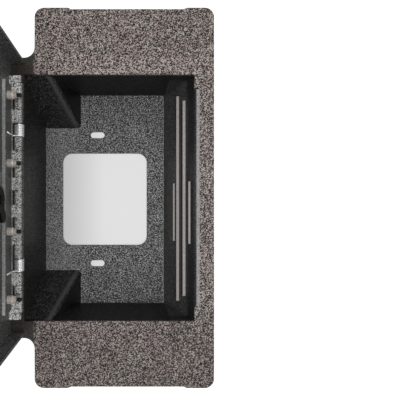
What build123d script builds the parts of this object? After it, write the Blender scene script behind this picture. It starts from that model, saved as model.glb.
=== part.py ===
"""Console safe: a welded sheet-steel box, hung by its wide top plate, with a sprung, keyed lid.

Millimetres, +Z up. The origin is midway between the two bolt slots, on the floor's underside. The
hinge runs along Y on the -X side, and the strike is in the wall on the +X side. Lid pieces are
drawn about the hinge axis with the lid closed, X towards the strike and Z outwards, and are then
turned up to the upright position in which the lid rests.
"""
import os
from math import cos, hypot, pi, radians, sin

from build123d import *

# Sheet metal
sheet = 2.66
bend_inside = 1.34
bend_mean = bend_inside + sheet / 2

# Box
inner_depth = 67.5
box_length = 237.0
hinge_wall_floor_x = -59.1
hinge_wall_lean = 6.9
latch_wall_floor_x = 75.5
latch_wall_lean = 24.15
hinge_wall_top_x = hinge_wall_floor_x - hinge_wall_lean
latch_wall_top_x = latch_wall_floor_x + latch_wall_lean
floor_top = sheet
plate_top = floor_top + inner_depth
plate_bottom = plate_top - sheet
half_box = box_length / 2

# Top plate, measured out from the box's opening
plate_end_width = 64.1
plate_latch_width = 16.65
plate_corner_overhang = 1.2
plate_hinge_inset = 10.0
plate_corner_radius = 9.0
wing_width = 19.0
wing_end_width = 16.1
wing_fillet = 10.0
wing_corner_radius = 3.0
end_recess_depth = 1.4
end_recess_from_left = 32.0
end_recess_from_right = 26.3
end_recess_slant = 3.0
wall_tab_inset = 14.3
tab_clearance = 0.1
tab_end_gap = 0.9
plate_length = box_length + 2 * plate_end_width
plate_left_x = hinge_wall_top_x + plate_hinge_inset
plate_right_x = latch_wall_top_x + plate_latch_width
wing_left_x = hinge_wall_top_x - wing_width
wing_length = box_length + 2 * wing_end_width
wall_tab_length = box_length - 2 * wall_tab_inset

# Openings in the floor
access_x = 8.4
access_width = 96.0
access_length = 105.0
access_corner_radius = 10.5
slot_spacing = 147.0
slot_length = 16.0
slot_width = 7.2
dimple_x = -24.8
dimple_y = 69.0
dimple_radius = 2.25
dimple_depth = 0.5

# Corner gussets, measured in from the hinge-side wall and the end wall
gusset_floor_width = 40.0
gusset_top_width = 24.8
gusset_floor_length = 37.4
gusset_flange_width = 14.0
gusset_bend_radius = 5.5
gusset_floor_x = hinge_wall_floor_x + gusset_floor_width
gusset_top_x = hinge_wall_top_x + gusset_top_width
gusset_floor_y = half_box - gusset_floor_length

# Strike channel below the plate's top, and the saddle over the channel
strike_upper_drop = 19.2
strike_leg_spacing = 12.7
strike_upper_inset = 19.7
strike_lower_inset = 11.6
strike_proud = 2.9
saddle_proud = 2.0
strike_clearance = 0.1
saddle_above = 9.1
saddle_below = 8.7
saddle_length = 78.0
saddle_y = -22.6
strike_upper_z = plate_top - strike_upper_drop
strike_lower_z = strike_upper_z - strike_leg_spacing
strike_upper_length = box_length - 2 * strike_upper_inset
strike_lower_length = box_length - 2 * strike_lower_inset
saddle_upper_z = strike_upper_z + saddle_above
saddle_lower_z = strike_lower_z - saddle_below

# Hinge
hinge_set_back = 3.4
knuckle_radius = 4.25
knuckle_lift = 0.45
pin_radius = 1.6
pin_clearance = 0.05
knuckle_pitch = 12.7
knuckle_gap = 0.7
spring_from_end = 4
barrel_clearance = 0.6
body_leaf_edge = 1.0
lid_leaf_height = 23.84
lid_leaf_inset = 9.8
lid_leaf_notch_gap = 0.125
end_tab_length = 6.35
end_tab_reach = 2.6
end_tab_slit = 0.6
hinge_lift = knuckle_radius + knuckle_lift
hinge_x = hinge_wall_top_x - hinge_set_back
hinge_z = plate_top + hinge_lift
knuckle_places = 2 * int(box_length / knuckle_pitch / 2) + 1
spring_places = {"rear": 1 + spring_from_end, "front": knuckle_places - spring_from_end}
hinge_length = knuckle_places * knuckle_pitch - 2 * (knuckle_pitch - end_tab_length)
lid_leaf_length = hinge_length - 2 * lid_leaf_inset
body_leaf_reach = wing_width - hinge_set_back - body_leaf_edge

# Torsion springs
wire_radius = 0.7
coil_plate_gap = 0.05
coil_end_gap = 0.2
coil_turn_gap = 0.55
coil_lid_gap = 1.09
lid_leg_bend = 2.0
lid_leg_short = 2.74
lid_leg_gap = 0.05
body_leg_short = 1.6
leg_groove_clearance = 0.25
wire_least_gap = 0.4
coil_radius = hinge_lift - coil_plate_gap - wire_radius
coil_length = knuckle_pitch - 2 * coil_end_gap
lid_leg_end = lid_leaf_height - lid_leg_short
body_leg_reach = body_leaf_reach - body_leg_short
lid_leaf_face = coil_radius + wire_radius + coil_lid_gap + sheet

# Studs and lock nuts
stud_count = 4
stud_height = 16.2
stud_end_inset = 12.2
stud_radius = 2.0
stud_hole_clearance = 0.2
stud_tail = 4.3
nut_across_flats = 7.4
nut_corner_over = 0.25
nut_chamfer = 0.5
nut_hex = 5.0
collar_radius = 3.1
collar_length = 3.0
stud_spacing = (lid_leaf_length - 2 * stud_end_inset) / (stud_count - 1)
stud_ys = [(number - (stud_count - 1) / 2) * stud_spacing for number in range(stud_count)]

# Lid pan, measured from the hinge axis and out from the box's opening
lid_heel_clearance = 0.38
lid_latch_over = 7.45
lid_end_over = 11.7
lid_plate_gap = 0.3
lid_corner_radius = 8.0
lid_edge_radius = sheet + bend_inside
lid_heel_radius = 5.0
lid_hinge_edge = -(hinge_lift - sheet - lid_heel_clearance)
lid_latch_edge = latch_wall_top_x + lid_latch_over - hinge_x
lid_length = box_length + 2 * lid_end_over
lid_inside = lid_leaf_face
lid_outside = lid_inside + sheet
lid_skirt_edge = -hinge_lift + lid_plate_gap

# Crank swing and bolt travel
crank_throw = 14.0
crank_swing = 60.0
bolt_travel = 2 * crank_throw * sin(radians(crank_swing / 2))

# Lock, measured from the lid's middle and inner face
lock_off_middle = 0.18
lock_y = -3.5
bolt_depth = 13.3
lock_past_slide = 1.04
lock_x = (lid_hinge_edge + lid_latch_edge) / 2 + lock_off_middle
lock_depth = bolt_depth + sheet + lock_past_slide
lock_radius = 9.5
lock_hole_clearance = 0.1
lock_head_radius = 13.0
lock_head_thickness = 1.5
lock_head_chamfer = 0.5
lock_nut_across_flats = 24.0
lock_nut_thickness = 4.0
escutcheon_radius = 22.0
escutcheon_thickness = 2.5
escutcheon_chamfer = 1.0
spindle_radius = 5.0
running_clearance = 0.05
spindle_square = 6.6
spindle_in_knob = 5.0
knob_radius = 17.0
knob_top_radius = 14.5
knob_height = 18.0
knob_gap = 0.4
knob_edge_radius = 1.5
knob_grips = 12
knob_grip_radius = 2.5
plug_radius = 5.5
plug_depth = 10.0
keyway_width = 2.0
keyway_length = 7.5
keyway_depth = 8.0

# Crank on the spindle's inner end
crank_gap = 0.3
crank_thickness = 2.7
crank_arm_radius = 4.5
crank_pin_radius = 2.0
crank_pin_past = 0.7
crank_screw_radius = 3.5
crank_screw_head = 1.6
crank_screw_shank = 1.5
crank_screw_length = 6.0
crank_pin_length = lock_depth + crank_gap - bolt_depth + crank_pin_past

# Bolt
lip_clearance = 0.34
bolt_web_clearance = 0.61
bolt_tip_back = 6.73
bolt_tip_clearance = 2.74
slide_width = 41.9
bolt_end_clearance = 1.3
bolt_corner_radius = 3.0
fork_reach = 13.6
fork_half_width = 21.0
fork_clearance = 0.8
drive_clearance = 0.35
drive_notch_end_clearance = 0.4

# Guide posts, measured in from the bolt's web and ends
post_set_back = 17.4
post_end_inset = 17.5
post_pair_spacing = 45.0
post_radius = 5.0
post_shoulder_radius = 3.0
post_under_clearance = 0.2
post_over_clearance = 0.4
post_slot_clearance = 0.3
washer_radius = 6.5
washer_thickness = 1.2
screw_radius = 1.5
screw_length = 7.0
screw_head_radius = 3.0
screw_head_height = 1.8

near = 0.01
parts = {}


def block(x0, x1, y0, y1, z0, z1):
    """Box between two opposite corners."""
    return Pos((x0 + x1) / 2, (y0 + y1) / 2, (z0 + z1) / 2) * Box(x1 - x0, y1 - y0, z1 - z0)


def rod_y(radius, y0, y1, x=0.0, z=0.0):
    """Cylinder along Y."""
    return Pos(x, (y0 + y1) / 2, z) * Rot(90, 0, 0) * Cylinder(radius, y1 - y0)


def rod_z(radius, z0, z1, x, y):
    """Cylinder along Z."""
    return Pos(x, y, (z0 + z1) / 2) * Cylinder(radius, z1 - z0)


def along_y(section, y0, y1):
    """Section drawn in X and Z, run along Y."""
    return Pos(0, y1, 0) * extrude(Plane.XZ * section, y1 - y0)


def outline_xz(*points):
    """Closed outline with straight sides, in X and Z."""
    return make_face(Polyline(*points, close=True))


def bent_sheet(points, y0, y1):
    """Sheet folded along the middle line through these points, with its bends rounded."""
    line = FilletPolyline(*points, radius=bend_mean)
    return along_y(trace(line, line_width=sheet), y0, y1)


def place_lid(name, closed_shape):
    """Keeps a piece drawn about the closed hinge, turned up to the rest position."""
    parts[name] = Pos(hinge_x, 0, hinge_z) * Rot(0, -90, 0) * closed_shape


def mirrored(shape):
    """The same piece at the -Y end."""
    return mirror(shape, Plane.XZ)


# Sloping walls
def hinge_wall_x(z):
    """Inner face of the wall under the hinge."""
    share = (z - floor_top) / (plate_bottom - floor_top)
    return hinge_wall_floor_x + share * (hinge_wall_top_x - hinge_wall_floor_x)


def latch_wall_x(z):
    """Inner face of the wall on the strike side."""
    share = (z - floor_top) / (plate_top - floor_top)
    return latch_wall_floor_x + share * (latch_wall_top_x - latch_wall_floor_x)


latch_rise = plate_top - floor_top
latch_run = latch_wall_top_x - latch_wall_floor_x
latch_wall_thickness = sheet * hypot(latch_rise, latch_run) / latch_rise
hinge_rise = plate_bottom - floor_top
hinge_run = hinge_wall_floor_x - hinge_wall_top_x
hinge_wall_thickness = sheet * hypot(hinge_rise, hinge_run) / hinge_rise


def latch_band(z0, z1):
    """Section of the strike-side wall between two heights."""
    return outline_xz(
        (latch_wall_x(z0), z0),
        (latch_wall_x(z0) + latch_wall_thickness, z0),
        (latch_wall_x(z1) + latch_wall_thickness, z1),
        (latch_wall_x(z1), z1),
    )


# Box
def make_floor_tray():
    """Floor and both end walls bent from one sheet, with the access hole and the bolt slots."""
    left = hinge_wall_floor_x - hinge_wall_thickness
    right = latch_wall_floor_x + latch_wall_thickness
    wall_middle = half_box + sheet / 2
    fold = FilletPolyline(
        (-wall_middle, plate_bottom), (-wall_middle, sheet / 2),
        (wall_middle, sheet / 2), (wall_middle, plate_bottom),
        radius=bend_mean,
    )
    section = Plane.YZ * trace(fold, line_width=sheet)
    tray = Pos(left, 0, 0) * extrude(section, latch_wall_floor_x - left)
    tray += block(latch_wall_floor_x, right, -half_box, half_box, 0, floor_top)
    foot = floor_top + bend_inside
    flare = outline_xz(
        (hinge_wall_x(foot) - hinge_wall_thickness, foot),
        (hinge_wall_floor_x, foot),
        (hinge_wall_floor_x, plate_bottom),
        (hinge_wall_top_x - hinge_wall_thickness, plate_bottom),
    )
    tray += along_y(flare, half_box, half_box + sheet)
    tray += along_y(flare, -half_box - sheet, -half_box)
    cuts = Pos(access_x, 0) * RectangleRounded(access_width, access_length, access_corner_radius)
    for side in (-1, 1):
        cuts += Pos(0, side * slot_spacing / 2) * SlotOverall(slot_length, slot_width)
    tray -= extrude(cuts, floor_top)
    return tray - rod_z(dimple_radius, floor_top - dimple_depth, floor_top, dimple_x, dimple_y)


def make_hinge_wall(tray):
    """Wall under the hinge, leaning out towards its top."""
    section = outline_xz(
        (hinge_wall_floor_x - hinge_wall_thickness, floor_top),
        (hinge_wall_floor_x, floor_top),
        (hinge_wall_top_x, plate_bottom),
        (hinge_wall_top_x - hinge_wall_thickness, plate_bottom),
    )
    return along_y(section, -half_box, half_box) - tray


def make_latch_wall(tray):
    """Leaning strike-side wall with a tab standing in the plate, end ears and the strike cuts."""
    wall = along_y(latch_band(floor_top, plate_bottom), -half_box, half_box)
    ear = outline_xz(
        (latch_wall_floor_x, floor_top),
        (latch_wall_floor_x + latch_wall_thickness, floor_top),
        (latch_wall_x(plate_bottom) + latch_wall_thickness, plate_bottom),
        (latch_wall_floor_x, plate_bottom),
    )
    wall += along_y(ear, half_box, half_box + sheet)
    wall += along_y(ear, -half_box - sheet, -half_box)
    wall += along_y(latch_band(plate_bottom, plate_top), -wall_tab_length / 2, wall_tab_length / 2)
    for low, high, length, y in (
        (strike_lower_z - sheet, strike_lower_z, strike_lower_length, 0),
        (strike_lower_z - sheet, strike_upper_z, strike_upper_length, 0),
        (saddle_lower_z - sheet, saddle_lower_z, saddle_length, saddle_y),
        (saddle_upper_z - sheet, saddle_upper_z, saddle_length, saddle_y),
    ):
        reach = length / 2 + strike_clearance
        wall -= block(
            latch_wall_floor_x, plate_right_x, y - reach, y + reach,
            low - strike_clearance, high + strike_clearance,
        )
    return wall - tray


def make_top_plate():
    """Plate with the box opening, the wing under the hinge and a shallow recess at each end."""
    centre_x = (plate_left_x + plate_right_x) / 2
    outline = Pos(centre_x, 0) * RectangleRounded(
        plate_right_x - plate_left_x, plate_length, plate_corner_radius
    )
    wing_right_x = plate_left_x + wing_fillet + plate_corner_radius
    wing = Pos((wing_left_x + wing_right_x) / 2, 0) * RectangleRounded(
        wing_right_x - wing_left_x, wing_length, wing_corner_radius
    )
    outline += wing
    roots = [
        v for v in outline.vertices()
        if abs(v.X - plate_left_x) < near and abs(abs(v.Y) - wing_length / 2) < near
    ]
    outline = fillet(roots, wing_fillet)
    recess_start_x = plate_left_x + end_recess_from_left
    recess_end_x = plate_right_x - end_recess_from_right
    for side in (-1, 1):
        edge = side * plate_length / 2
        outline -= make_face(Polyline(
            (recess_start_x, edge),
            (recess_start_x + end_recess_slant, edge - side * end_recess_depth),
            (recess_end_x - end_recess_slant, edge - side * end_recess_depth),
            (recess_end_x, edge),
            close=True,
        ))
    opening_right_x = latch_wall_x(plate_bottom) - plate_corner_overhang
    outline -= Pos((hinge_wall_top_x + opening_right_x) / 2, 0) * Rectangle(
        opening_right_x - hinge_wall_top_x, box_length
    )
    plate = Pos(0, 0, plate_bottom) * extrude(outline, sheet)
    tab_reach = wall_tab_length / 2 + tab_end_gap
    tab_right_x = latch_wall_top_x + latch_wall_thickness + tab_clearance
    plate -= block(
        opening_right_x - sheet, tab_right_x, -tab_reach, tab_reach, plate_bottom, plate_top
    )
    return plate


# Corner gussets
front_slope = hinge_rise, half_box - gusset_floor_y
side_slope = hinge_rise, gusset_floor_x - gusset_top_x


def under_front(inset):
    """Everything under the gusset's face towards the middle of the box, set in from it."""
    size = 4 * half_box
    rise, run = front_slope
    normal = Vector(0, -rise, run).normalized()
    foot = Vector(gusset_floor_x, gusset_floor_y, floor_top)
    plane = Plane(origin=foot - normal * inset, x_dir=(1, 0, 0), z_dir=normal)
    return plane * Box(size, size, size, align=(Align.CENTER, Align.CENTER, Align.MAX))


def under_side(inset):
    """Everything under the gusset's face towards the strike, set in from it."""
    size = 4 * half_box
    rise, run = side_slope
    normal = Vector(rise, 0, run).normalized()
    foot = Vector(gusset_floor_x, gusset_floor_y, floor_top)
    plane = Plane(origin=foot - normal * inset, x_dir=(0, 1, 0), z_dir=normal)
    return plane * Box(size, size, size, align=(Align.CENTER, Align.CENTER, Align.MAX))


def under_gusset(inset):
    """Solid under both of the gusset's sloping faces, with the bend between them rounded."""
    solid = under_front(inset) & under_side(inset)
    middle = Vector(
        (gusset_floor_x + gusset_top_x) / 2,
        (gusset_floor_y + half_box) / 2,
        (floor_top + plate_bottom) / 2,
    )
    bend = min(solid.edges(), key=lambda e: e.distance_to(middle))
    return fillet(bend, gusset_bend_radius - inset)


def make_rear_gusset(tray):
    """Bent sheet over a hinge-side corner, with weld flanges turned in behind it on both walls."""
    corner = along_y(
        outline_xz(
            (hinge_wall_x(floor_top), floor_top),
            (gusset_floor_x + sheet, floor_top),
            (gusset_floor_x + sheet, plate_bottom),
            (hinge_wall_x(plate_bottom), plate_bottom),
        ),
        0, half_box,
    )
    behind = under_gusset(sheet / 2) & corner
    gusset = (under_gusset(0.0) & corner) - under_gusset(sheet)
    end_strip = block(
        hinge_wall_top_x, gusset_floor_x, half_box - sheet, half_box, floor_top, plate_bottom
    )
    gusset += (end_strip & behind) - under_side(gusset_flange_width)
    wall_strip = along_y(
        outline_xz(
            (hinge_wall_x(floor_top), floor_top),
            (hinge_wall_x(floor_top) + sheet, floor_top),
            (hinge_wall_x(plate_bottom) + sheet, plate_bottom),
            (hinge_wall_x(plate_bottom), plate_bottom),
        ),
        0, half_box - sheet,
    )
    gusset += (wall_strip & behind) - under_front(gusset_flange_width)
    return gusset - tray


# Strike, as deep as the thrown bolt needs
lip_middle_z = strike_upper_z - sheet - lip_clearance - sheet / 2
bolt_tip_x = latch_wall_x(lip_middle_z) - bolt_tip_back - hinge_x
strike_leg_tip_x = latch_wall_x(strike_upper_z - sheet / 2) - strike_proud
strike_web_x = hinge_x + bolt_tip_x + bolt_travel + bolt_tip_clearance + sheet


def make_strike_channel():
    """Long channel through the wall: the bolt's lip goes in between its two legs."""
    low = strike_lower_z - sheet / 2
    high = strike_upper_z - sheet / 2
    web = strike_web_x - sheet / 2
    half = strike_lower_length / 2
    channel = bent_sheet(
        (
            (latch_wall_x(low) - strike_proud, low),
            (web, low),
            (web, high),
            (latch_wall_x(high) - strike_proud, high),
        ),
        -half, half,
    )
    middle = (low + high) / 2
    for side in (-1, 1):
        y0, y1 = sorted((side * strike_upper_length / 2, side * half))
        channel -= block(latch_wall_floor_x, strike_web_x, y0, y1, middle, plate_bottom)
    return channel


def make_strike_saddle():
    """Short wide channel welded over the long one, with its own legs through the wall."""
    low = saddle_lower_z - sheet / 2
    high = saddle_upper_z - sheet / 2
    web = strike_web_x + sheet / 2
    return bent_sheet(
        (
            (latch_wall_x(low) - saddle_proud, low),
            (web, low),
            (web, high),
            (latch_wall_x(high) - saddle_proud, high),
        ),
        saddle_y - saddle_length / 2, saddle_y + saddle_length / 2,
    )


# Hinge
def place_y(number):
    """Middle of a knuckle place, counted from 1 at the +Y end."""
    return ((knuckle_places + 1) / 2 - number) * knuckle_pitch


def place_span(number, extra):
    """Both ends of a knuckle place along Y, widened by an extra length."""
    reach = knuckle_pitch / 2 + extra
    return place_y(number) - reach, place_y(number) + reach


def knuckle(number):
    """One knuckle about the hinge axis, a little shorter than its place."""
    return rod_y(knuckle_radius, *place_span(number, -knuckle_gap / 2))


def place_holder(number):
    """What stands at a place: lid and body knuckles take turns on each side of a spring."""
    from_end = min(number, knuckle_places + 1 - number) - 1
    if from_end == spring_from_end:
        return "spring"
    from_middle = (knuckle_places - 1) // 2 - from_end
    turn = from_end if from_end < spring_from_end else from_middle
    return "lid" if turn % 2 else "body"


bore_radius = pin_radius + pin_clearance
clear_reach = knuckle_radius + barrel_clearance
end_places = (1, knuckle_places)
inner_places = range(2, knuckle_places)
lid_places = [number for number in inner_places if place_holder(number) == "lid"]
body_places = [number for number in inner_places if place_holder(number) == "body"]


def make_body_leaf():
    """Fixed leaf, flat on the wing, with its knuckles and a groove that holds each spring leg."""
    half = hinge_length / 2
    leaf = block(-body_leaf_reach, 0, -half, half, -hinge_lift, -hinge_lift + sheet)
    for number in (*end_places, *lid_places, *spring_places.values()):
        leaf -= block(
            -clear_reach, knuckle_radius, *place_span(number, knuckle_gap / 2),
            -hinge_lift, -hinge_lift + sheet,
        )
    groove_top = -coil_radius + wire_radius + leg_groove_clearance
    groove_half = wire_radius + leg_groove_clearance
    for number in spring_places.values():
        leg_y = place_y(number) + coil_reach
        leaf -= block(
            -body_leg_reach - leg_groove_clearance, 0, leg_y - groove_half, leg_y + groove_half,
            -hinge_lift, groove_top,
        )
    for number in body_places:
        leaf += knuckle(number)
    leaf -= rod_y(bore_radius, -half, half)
    return Pos(hinge_x, 0, hinge_z) * leaf


def make_lid_leaf():
    """Moving leaf, an angle under the lid: rolled knuckles, end tabs, and clearance notches."""
    half = hinge_length / 2
    root = knuckle_radius - sheet / 2
    flat = lid_leaf_face - sheet / 2
    leaf = bent_sheet(((root, 0), (root, flat), (lid_leaf_height, flat)), -half, half)
    notch_top = lid_leaf_face - sheet - lid_leaf_notch_gap
    for number in (*body_places, *spring_places.values()):
        leaf -= block(
            0, knuckle_radius + bend_inside, *place_span(number, knuckle_gap / 2),
            -knuckle_radius, notch_top,
        )
    for number in lid_places:
        leaf += knuckle(number)
    leaf -= rod_y(bore_radius, -half, half)
    tab_inner_y = half - end_tab_length
    for side in (-1, 1):
        y0, y1 = sorted((side * lid_leaf_length / 2, side * half))
        leaf -= block(knuckle_radius, lid_leaf_height, y0, y1, 0, lid_leaf_face)
        y0, y1 = sorted((side * tab_inner_y, side * half))
        leaf += block(knuckle_radius - sheet, knuckle_radius, y0, y1, -end_tab_reach, lid_leaf_face)
        y0, y1 = sorted((side * tab_inner_y, side * (tab_inner_y + end_tab_slit)))
        leaf -= block(0, knuckle_radius, y0, y1, -end_tab_reach, notch_top)
    for y in stud_ys:
        leaf -= rod_z(
            stud_radius + stud_hole_clearance, lid_leaf_face - sheet, lid_leaf_face,
            stud_height, y,
        )
    return leaf


def make_hinge_pin():
    """Plain pin through every knuckle and both springs."""
    reach = (knuckle_places / 2 - 1) * knuckle_pitch - knuckle_gap
    return Pos(hinge_x, 0, hinge_z) * rod_y(pin_radius, -reach, reach)


# Torsion springs
coil_reach = coil_length / 2 - wire_radius
coil_turns = int(2 * coil_reach / (2 * wire_radius + coil_turn_gap) - 0.5) + 0.5
arcs_per_turn = 4


def coil_point(turn):
    """Point on the coil's middle line, and its direction; turn 0 is at the bottom, +Y end."""
    angle = radians(-90) + 2 * pi * turn
    pitch = 2 * coil_reach / coil_turns
    point = Vector(coil_radius * cos(angle), coil_reach - pitch * turn, coil_radius * sin(angle))
    level = turn in (0, coil_turns)
    drift = 0.0 if level else -pitch / (2 * pi * coil_radius)
    return point, Vector(-sin(angle), drift, cos(angle)).normalized()


def biarc(start, start_way, end, end_way):
    """Two arcs that join two points and meet smoothly between them."""
    span = end - start
    ways = start_way + end_way
    a = 2 * (1 - start_way.dot(end_way))
    b = 2 * span.dot(ways)
    reach = (-b + (b * b + 4 * a * span.dot(span)) ** 0.5) / (2 * a)
    first = start + start_way * reach
    second = end - end_way * reach
    middle = (first + second) * 0.5
    return [
        Edge.make_tangent_arc(start, start_way, middle),
        Edge.make_tangent_arc(middle, second - first, end),
    ]


def make_spring_line():
    """Middle line of a spring: leg on the body, coil, then a leg bent up the lid's leaf."""
    bottom = Vector(0, coil_reach, -coil_radius)
    edges = [Edge.make_line(bottom - Vector(body_leg_reach, 0, 0), bottom)]
    for step in range(round(coil_turns * arcs_per_turn)):
        edges += biarc(*coil_point(step / arcs_per_turn), *coil_point((step + 1) / arcs_per_turn))
    leg_x = -(lid_leaf_face - sheet - wire_radius - lid_leg_gap)
    top = Vector(0, -coil_reach, coil_radius)
    bend_start = Vector(leg_x + lid_leg_bend, -coil_reach, coil_radius)
    bend_end = Vector(leg_x, -coil_reach, coil_radius + lid_leg_bend)
    edges.append(Edge.make_line(top, bend_start))
    edges.append(Edge.make_tangent_arc(bend_start, Vector(-1, 0, 0), bend_end))
    edges.append(Edge.make_line(bend_end, Vector(leg_x, -coil_reach, lid_leg_end)))
    return Wire(edges)


def least_self_gap(line):
    """Least space between the wire and itself, measured on points more than half a turn apart."""
    step = 0.25
    count = int(line.length / step)
    points = [line.position_at(i / count) for i in range(count + 1)]
    skip = int(pi * coil_radius / step)
    return min(
        (points[i] - points[j]).length
        for i in range(len(points))
        for j in range(i + skip, len(points))
    ) - 2 * wire_radius


def make_spring(line, number):
    """Round wire along the middle line, at its place on the pin."""
    section = Plane(origin=line.position_at(0), z_dir=line.tangent_at(0)) * Circle(wire_radius)
    spring = sweep(section, path=line)
    return Pos(hinge_x, place_y(number), hinge_z) * spring


# Lid pan, studs and nuts
def lid_form(inset):
    """Solid of the lid's outside, or of its inside when it is set in by the sheet."""
    form = block(
        lid_hinge_edge, lid_latch_edge - inset,
        -lid_length / 2 + inset, lid_length / 2 - inset,
        lid_skirt_edge, lid_outside - inset,
    )
    latch_corners = form.edges().filter_by(Axis.Z).sort_by(Axis.X)[-2:]
    form = fillet(latch_corners, lid_corner_radius - inset)
    top = form.faces().sort_by(Axis.Z)[-1]
    rim = [e for e in top.edges() if e.center().X > lid_hinge_edge + near]
    return fillet(rim, lid_edge_radius - inset)


def make_lid_pan():
    """Shallow pan: the lid's panel with three edges turned down, open along the hinge."""
    pan = lid_form(0.0) - lid_form(sheet)
    heels = [
        e for e in pan.edges().filter_by(Axis.Y)
        if abs(e.center().X - lid_hinge_edge) < near and abs(e.center().Z - lid_skirt_edge) < near
    ]
    pan = fillet(heels, lid_heel_radius)
    return pan - rod_z(
        lock_radius + lock_hole_clearance, lid_inside, lid_outside, lock_x, lock_y
    )


leaf_inner_face = lid_leaf_face - sheet
nut_end = leaf_inner_face - nut_hex - collar_length


def make_studs():
    """Studs welded to the lid's panel, through the hinge leaf and its lock nuts."""
    shapes = [
        rod_z(stud_radius, nut_end - stud_tail, lid_inside, stud_height, y) for y in stud_ys
    ]
    return Compound(shapes)


def make_lock_nuts():
    """Hexagon nuts with a round collar for the locking insert."""
    shapes = []
    for y in stud_ys:
        hexagon = RegularPolygon(nut_across_flats / 2, 6, major_radius=False)
        base = leaf_inner_face - nut_hex
        nut = Pos(stud_height, y, base) * extrude(hexagon, nut_hex)
        corner_radius = nut_across_flats / 2 + nut_corner_over
        corners = rod_z(corner_radius, base, leaf_inner_face, stud_height, y)
        rims = corners.edges().filter_by(GeomType.CIRCLE).group_by(Axis.Z)
        rounded = chamfer(rims[0], nut_chamfer)
        nut = nut & rounded
        nut += rod_z(collar_radius, nut_end, base, stud_height, y)
        shapes.append(nut - rod_z(stud_radius, nut_end, leaf_inner_face, stud_height, y))
    return Compound(shapes)


# Lock
head_z = lid_outside + escutcheon_thickness
knob_z = head_z + lock_head_thickness + knob_gap
lock_end_z = lid_inside - lock_depth
crank_top_z = lock_end_z - crank_gap
crank_bottom_z = crank_top_z - crank_thickness
spindle_top_z = knob_z + spindle_in_knob


def at_lock(z0, z1, radius):
    """Cylinder on the lock's axis between two heights."""
    return rod_z(radius, z0, z1, lock_x, lock_y)


def make_lock_body():
    """Round lock body with its head on the escutcheon and a bore for the spindle."""
    body = at_lock(lock_end_z, head_z, lock_radius)
    head = at_lock(head_z, head_z + lock_head_thickness, lock_head_radius)
    rim = head.edges().filter_by(GeomType.CIRCLE).sort_by(Axis.Z)[-1]
    body += chamfer(rim, lock_head_chamfer)
    bore = spindle_radius + running_clearance
    return body - at_lock(lock_end_z, head_z + lock_head_thickness, bore)


def make_escutcheon():
    """Round plate round the lock on the lid's outer face."""
    plate = at_lock(lid_outside, head_z, escutcheon_radius)
    rim = plate.edges().filter_by(GeomType.CIRCLE).sort_by(Axis.Z)[-1]
    return chamfer(rim, escutcheon_chamfer) - at_lock(lid_outside, head_z, lock_radius)


def make_lock_nut():
    """Thin hexagon nut that clamps the lock body to the lid's panel."""
    hexagon = RegularPolygon(lock_nut_across_flats / 2, 6, major_radius=False)
    base = lid_inside - lock_nut_thickness
    nut = Pos(lock_x, lock_y, base) * extrude(hexagon, lock_nut_thickness)
    return nut - at_lock(base, lid_inside, lock_radius)


def make_knob():
    """Tapered knob with scalloped grips, bored for the key plug and the spindle."""
    knob_top = knob_z + knob_height
    profile = Polyline(
        (0, knob_z), (knob_radius, knob_z), (knob_top_radius, knob_top), (0, knob_top), close=True
    )
    turned = revolve(Plane.XZ * make_face(profile), Axis.Z)
    rims = turned.edges().filter_by(GeomType.CIRCLE)
    knob = Pos(lock_x, lock_y, 0) * fillet(rims, knob_edge_radius)
    for spot in PolarLocations(knob_radius + knob_grip_radius / 2, knob_grips):
        knob -= Pos(lock_x, lock_y, knob_z) * spot * Cylinder(
            knob_grip_radius, knob_height, align=(Align.CENTER, Align.CENTER, Align.MIN)
        )
    knob -= at_lock(knob_z, spindle_top_z, spindle_radius)
    return knob - at_lock(knob_top - plug_depth, knob_top, plug_radius + running_clearance)


def make_key_plug():
    """Key plug in the knob's face, with its keyway."""
    knob_top = knob_z + knob_height
    plug = at_lock(knob_top - plug_depth, knob_top, plug_radius)
    return plug - block(
        lock_x - keyway_length / 2, lock_x + keyway_length / 2,
        lock_y - keyway_width / 2, lock_y + keyway_width / 2,
        knob_top - keyway_depth, knob_top,
    )


crank_angle = radians(crank_swing / 2)
crank_pin_x = lock_x - crank_throw * sin(crank_angle)
crank_pin_y = lock_y - crank_throw * cos(crank_angle)


def crank_tilt():
    """Turn of square pieces so that their sides follow the crank's arm."""
    return Pos(lock_x, lock_y, 0) * Rot(0, 0, -crank_swing / 2)


def spindle_end():
    """Square end of the spindle, which drives the crank."""
    return crank_tilt() * block(
        -spindle_square / 2, spindle_square / 2, -spindle_square / 2, spindle_square / 2,
        crank_bottom_z, crank_top_z,
    )


def crank_screw_hole(radius):
    """Bore or shank of the screw in the spindle's end."""
    return at_lock(crank_bottom_z, crank_bottom_z + crank_screw_length, radius)


def make_spindle():
    """Spindle from the knob through the lock body to the crank."""
    spindle = at_lock(crank_top_z, spindle_top_z, spindle_radius) + spindle_end()
    return spindle - crank_screw_hole(crank_screw_shank)


def make_crank():
    """Crank on the spindle's square end, whose pin drives the bolt."""
    crank = at_lock(crank_bottom_z, crank_top_z, lock_radius)
    arm = crank_tilt() * block(
        -crank_arm_radius, crank_arm_radius, -crank_throw, 0, crank_bottom_z, crank_top_z
    )
    crank += arm
    crank += rod_z(crank_arm_radius, crank_bottom_z, crank_top_z, crank_pin_x, crank_pin_y)
    crank += rod_z(
        crank_pin_radius, crank_top_z, crank_top_z + crank_pin_length, crank_pin_x, crank_pin_y
    )
    return crank - spindle_end()


def make_crank_screw():
    """Pan-head screw that holds the crank on the spindle."""
    head = at_lock(crank_bottom_z - crank_screw_head, crank_bottom_z, crank_screw_radius)
    rim = head.edges().filter_by(GeomType.CIRCLE).sort_by(Axis.Z)[0]
    return fillet(rim, crank_screw_head / 2) + crank_screw_hole(crank_screw_shank)


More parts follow.
